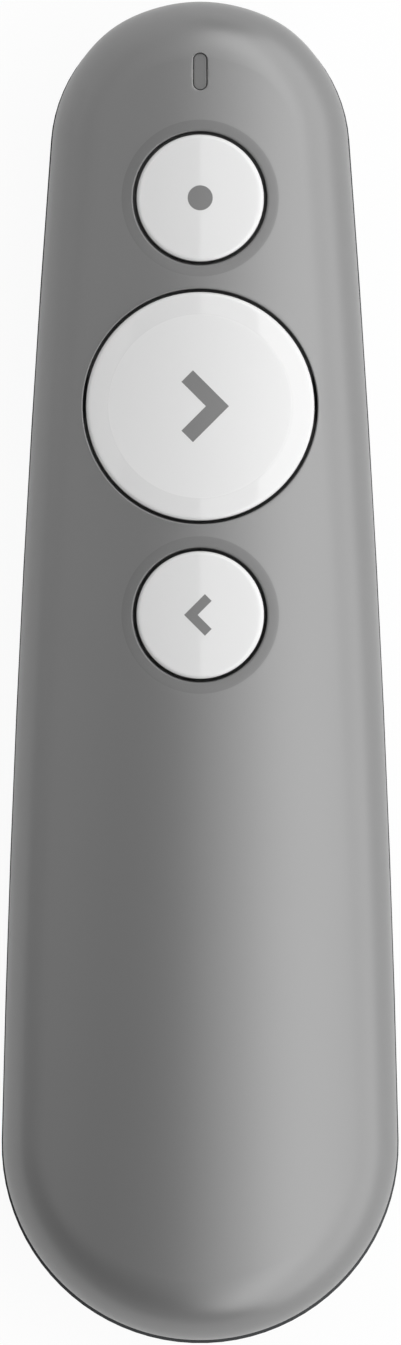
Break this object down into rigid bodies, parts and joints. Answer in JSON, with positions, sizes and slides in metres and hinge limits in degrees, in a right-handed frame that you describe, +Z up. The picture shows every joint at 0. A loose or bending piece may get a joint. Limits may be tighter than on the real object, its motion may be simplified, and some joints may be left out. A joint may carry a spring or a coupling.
{
  "type": "wireless presentation clicker",
  "caption": "Slim hand-held remote with a crowned grey cover, round push buttons, a laser nose, a battery door underneath and a radio receiver stowed in the tail.",
  "frame": {"origin": "centre of the bounding box at the surface that the clicker's underside rests on", "axes": "+Y towards the laser nose, +Z up out of the button face, +X to the right seen from above"},
  "size_m": [0.036, 0.122, 0.0243],
  "materials": {
    "cover_grey_plastic": "satin soft-touch painted moulded ABS, neutral mid grey",
    "case_charcoal_plastic": "fine-textured moulded ABS, charcoal",
    "smoked_light_pipe": "moulded smoked polycarbonate light pipe, frosted",
    "smoked_window": "dark red-tinted acrylic window",
    "button_white_plastic": "glossy moulded white ABS",
    "inlay_grey_plastic": "second-shot grey ABS inlay, satin",
    "switch_black_plastic": "moulded nylon switch housing",
    "switch_stem_plastic": "moulded acetal switch stem",
    "board_laminate": "glass-epoxy board with green solder mask",
    "screw_steel": "black-zinc plated steel",
    "chip_epoxy": "moulded black epoxy package",
    "crystal_can_steel": "seam-welded metal can",
    "antenna_ceramic": "fired white ceramic",
    "capacitor_ceramic": "fired brown ceramic chip",
    "led_epoxy": "clear epoxy over a yellow phosphor",
    "barrel_brass": "turned brass",
    "lens_glass": "polished glass",
    "diode_gilt": "gold flash over steel",
    "cell_can_steel": "nickel-plated drawn steel",
    "cell_sleeve_film": "shrunk plastic film, plain blue-grey",
    "contact_nickel": "nickel-plated spring steel",
    "receiver_black_plastic": "moulded black ABS",
    "plug_nickel": "nickel-plated folded steel",
    "tongue_white_plastic": "moulded white nylon",
    "contact_gold": "gold-plated copper alloy"
  },
  "bodies": {
    "case": {"top_cover": "cover_grey_plastic", "bottom_case": "case_charcoal_plastic", "led_light_pipe": "smoked_light_pipe", "laser_window": "smoked_window", "laser_switch": "switch_black_plastic", "next_switch": "switch_black_plastic", "back_switch": "switch_black_plastic", "main_board": "board_laminate", "board_screws": "screw_steel", "radio_chip": "chip_epoxy", "radio_crystal": "crystal_can_steel", "chip_antenna": "antenna_ceramic", "board_capacitors": "capacitor_ceramic", "status_led": "led_epoxy", "laser_barrel": "barrel_brass", "laser_lens": "lens_glass", "laser_diode": "diode_gilt", "laser_leads": "diode_gilt", "left_cell_can": "cell_can_steel", "left_cell_sleeve": "cell_sleeve_film", "left_battery_spring": "contact_nickel", "left_contact_plate": "contact_nickel", "right_cell_can": "cell_can_steel", "right_cell_sleeve": "cell_sleeve_film", "right_battery_spring": "contact_nickel", "right_contact_plate": "contact_nickel", "link_plate": "contact_nickel", "case_screws": "screw_steel"},
    "battery_door": {"battery_door": "case_charcoal_plastic"},
    "receiver": {"receiver_body": "receiver_black_plastic", "receiver_plug": "plug_nickel", "receiver_tongue": "tongue_white_plastic", "receiver_contacts": "contact_gold"},
    "laser_button": {"laser_button": "button_white_plastic", "laser_button_dot": "inlay_grey_plastic", "laser_switch_stem": "switch_stem_plastic"},
    "next_button": {"next_button": "button_white_plastic", "next_button_arrow": "inlay_grey_plastic", "next_switch_stem": "switch_stem_plastic"},
    "back_button": {"back_button": "button_white_plastic", "back_button_arrow": "inlay_grey_plastic", "back_switch_stem": "switch_stem_plastic"}
  },
  "joints": [
    {"name": "laser_button_press", "type": "slide", "parent": "case", "child": "laser_button", "axis": [0, 0, -1], "range_m": [0, 0.0006], "stiffness_N_per_m": 1500, "springref_m": -0.0003},
    {"name": "next_button_press", "type": "slide", "parent": "case", "child": "next_button", "axis": [0, 0, -1], "range_m": [0, 0.0006], "stiffness_N_per_m": 1500, "springref_m": -0.0003},
    {"name": "back_button_press", "type": "slide", "parent": "case", "child": "back_button", "axis": [0, 0, -1], "range_m": [0, 0.0006], "stiffness_N_per_m": 1500, "springref_m": -0.0003},
    {"name": "battery_door_swing", "type": "hinge", "parent": "case", "child": "battery_door", "pos_m": [0, 0.01125, 0], "axis": [1, 0, 0], "range_deg": [0, 45]},
    {"name": "receiver_slide", "type": "slide", "parent": "case", "child": "receiver", "axis": [0, -1, 0], "range_m": [0, 0.024]}
  ]
}
